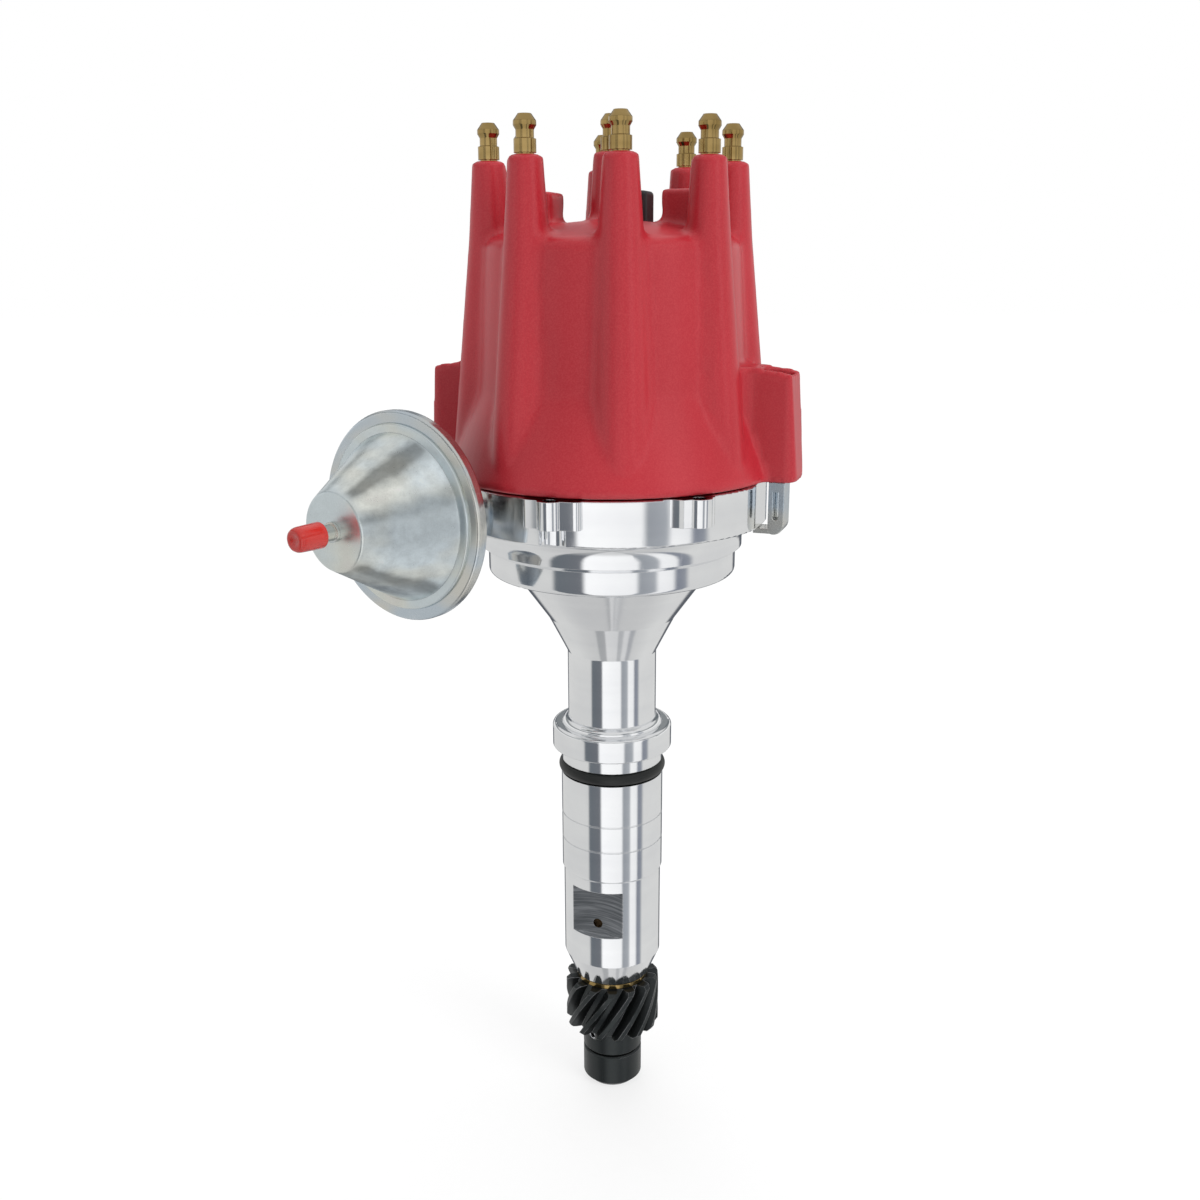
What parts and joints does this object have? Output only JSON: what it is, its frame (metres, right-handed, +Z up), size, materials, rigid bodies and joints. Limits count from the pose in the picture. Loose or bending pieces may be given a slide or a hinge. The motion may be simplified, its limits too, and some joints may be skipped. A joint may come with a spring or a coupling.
{
  "type": "ignition distributor",
  "caption": "Ignition distributor with a red moulded cap, polished turned housing, vacuum advance can, helical drive gear and spring latches, jointed inside and out.",
  "frame": {"origin": "on the shaft's axis at the underside of the housing's collar", "axes": "+Z up the shaft towards the cap; -Y is the front; the vacuum can points to the front left"},
  "size_m": [0.1418, 0.113, 0.3107],
  "materials": {
    "polished_aluminium": "polished",
    "black_oxide_steel": "satin",
    "ground_steel": "satin",
    "zinc_plate": "satin",
    "brass": "satin",
    "bronze": "satin",
    "red_moulding": "satin",
    "red_cap_vinyl": "gloss",
    "black_moulding": "matte",
    "rotor_moulding": "matte",
    "black_rubber": "matte",
    "module_moulding": "matte",
    "coil_winding": "gloss",
    "carbon": "matte"
  },
  "bodies": {
    "distributor": {"housing": "polished_aluminium", "housing_o_ring": "black_rubber", "upper_bushing": "bronze", "lower_bushing": "bronze", "lead_grommet": "black_rubber", "plate_snap_ring": "ground_steel", "ignition_module": "module_moulding", "module_screws": "zinc_plate", "cap_shell": "red_moulding", "cap_vent_plug": "black_moulding", "plug_terminals": "brass", "coil_terminal": "brass", "vacuum_can_front": "zinc_plate", "vacuum_can_back": "zinc_plate", "vacuum_diaphragm": "black_rubber", "vacuum_spring": "ground_steel", "vacuum_nipple": "zinc_plate", "vacuum_bracket": "zinc_plate", "bracket_screws": "zinc_plate"},
    "shaft": {"main_shaft": "ground_steel", "drive_gear": "black_oxide_steel", "gear_roll_pin": "ground_steel", "thrust_washer": "bronze", "shim_washers": "ground_steel", "oil_pump_coupling": "black_oxide_steel", "advance_cam": "ground_steel"},
    "advance": {"advance_base_plate": "zinc_plate", "reluctor": "ground_steel", "weight_pivot_pins": "ground_steel", "advance_springs": "ground_steel", "rotor_body": "rotor_moulding", "rotor_blade": "brass", "rotor_contact_spring": "brass", "rotor_screws": "zinc_plate", "rotor_blade_rivet": "brass"},
    "weight_right": {"advance_weight_right": "zinc_plate"},
    "weight_left": {"advance_weight_left": "zinc_plate"},
    "pickup": {"pickup_plate": "zinc_plate", "pickup_coil": "coil_winding", "pole_piece": "ground_steel", "pickup_screws": "zinc_plate"},
    "vacuum_drive": {"vacuum_rod": "ground_steel", "diaphragm_cup": "zinc_plate"},
    "button": {"carbon_button": "carbon", "button_spring": "ground_steel"},
    "latch_right": {"latch_hook_right": "zinc_plate", "latch_screw_right": "zinc_plate", "latch_spring_right": "ground_steel"},
    "latch_left": {"latch_hook_left": "zinc_plate", "latch_screw_left": "zinc_plate", "latch_spring_left": "ground_steel"},
    "hose_cap": {"nipple_cap": "red_cap_vinyl"}
  },
  "joints": [
    {"name": "shaft_spin", "type": "hinge", "parent": "distributor", "child": "shaft", "pos_m": [0, 0, 0], "axis": [0, 0, -1], "continuous": true},
    {"name": "centrifugal_advance", "type": "hinge", "parent": "shaft", "child": "advance", "pos_m": [0, 0, 0.097], "axis": [0, 0, -1], "range_deg": [0, 12], "stiffness_Nm_per_rad": 0.2},
    {"name": "weight_right_swing", "type": "hinge", "parent": "advance", "child": "weight_right", "pos_m": [0.00925, 0.01602, 0.1], "axis": [0, 0, 1], "range_deg": [0, 15]},
    {"name": "weight_left_swing", "type": "hinge", "parent": "advance", "child": "weight_left", "pos_m": [-0.00925, -0.01602, 0.1], "axis": [0, 0, 1], "range_deg": [0, 15]},
    {"name": "vacuum_plate_turn", "type": "hinge", "parent": "distributor", "child": "pickup", "pos_m": [0, 0, 0.078], "axis": [0, 0, 1], "range_deg": [0, 10], "stiffness_Nm_per_rad": 0.3},
    {"name": "vacuum_rod_slide", "type": "slide", "parent": "distributor", "child": "vacuum_drive", "axis": [-0.592, -0.8059, 0], "range_m": [0, 0.00534]},
    {"name": "button_plunge", "type": "slide", "parent": "distributor", "child": "button", "axis": [0, 0, 1], "range_m": [0, 0.001], "stiffness_N_per_m": 300, "deforming": ["button_spring"]},
    {"name": "latch_right_turn", "type": "hinge", "parent": "distributor", "child": "latch_right", "pos_m": [0.04849, -0.01674, 0.087], "axis": [0, 0, 1], "range_deg": [0, 90]},
    {"name": "latch_left_turn", "type": "hinge", "parent": "distributor", "child": "latch_left", "pos_m": [-0.04849, 0.01674, 0.087], "axis": [0, 0, 1], "range_deg": [0, 90]},
    {"name": "hose_cap_pull", "type": "slide", "parent": "distributor", "child": "hose_cap", "axis": [-0.592, -0.8059, 0], "range_m": [0, 0.014]}
  ],
  "couplings": [
    {"joint": "weight_right_swing", "follows": "centrifugal_advance", "ratio": 1.25},
    {"joint": "weight_left_swing", "follows": "centrifugal_advance", "ratio": 1.25},
    {"joint": "vacuum_rod_slide", "follows": "vacuum_plate_turn", "m_per_rad": 0.0306}
  ]
}
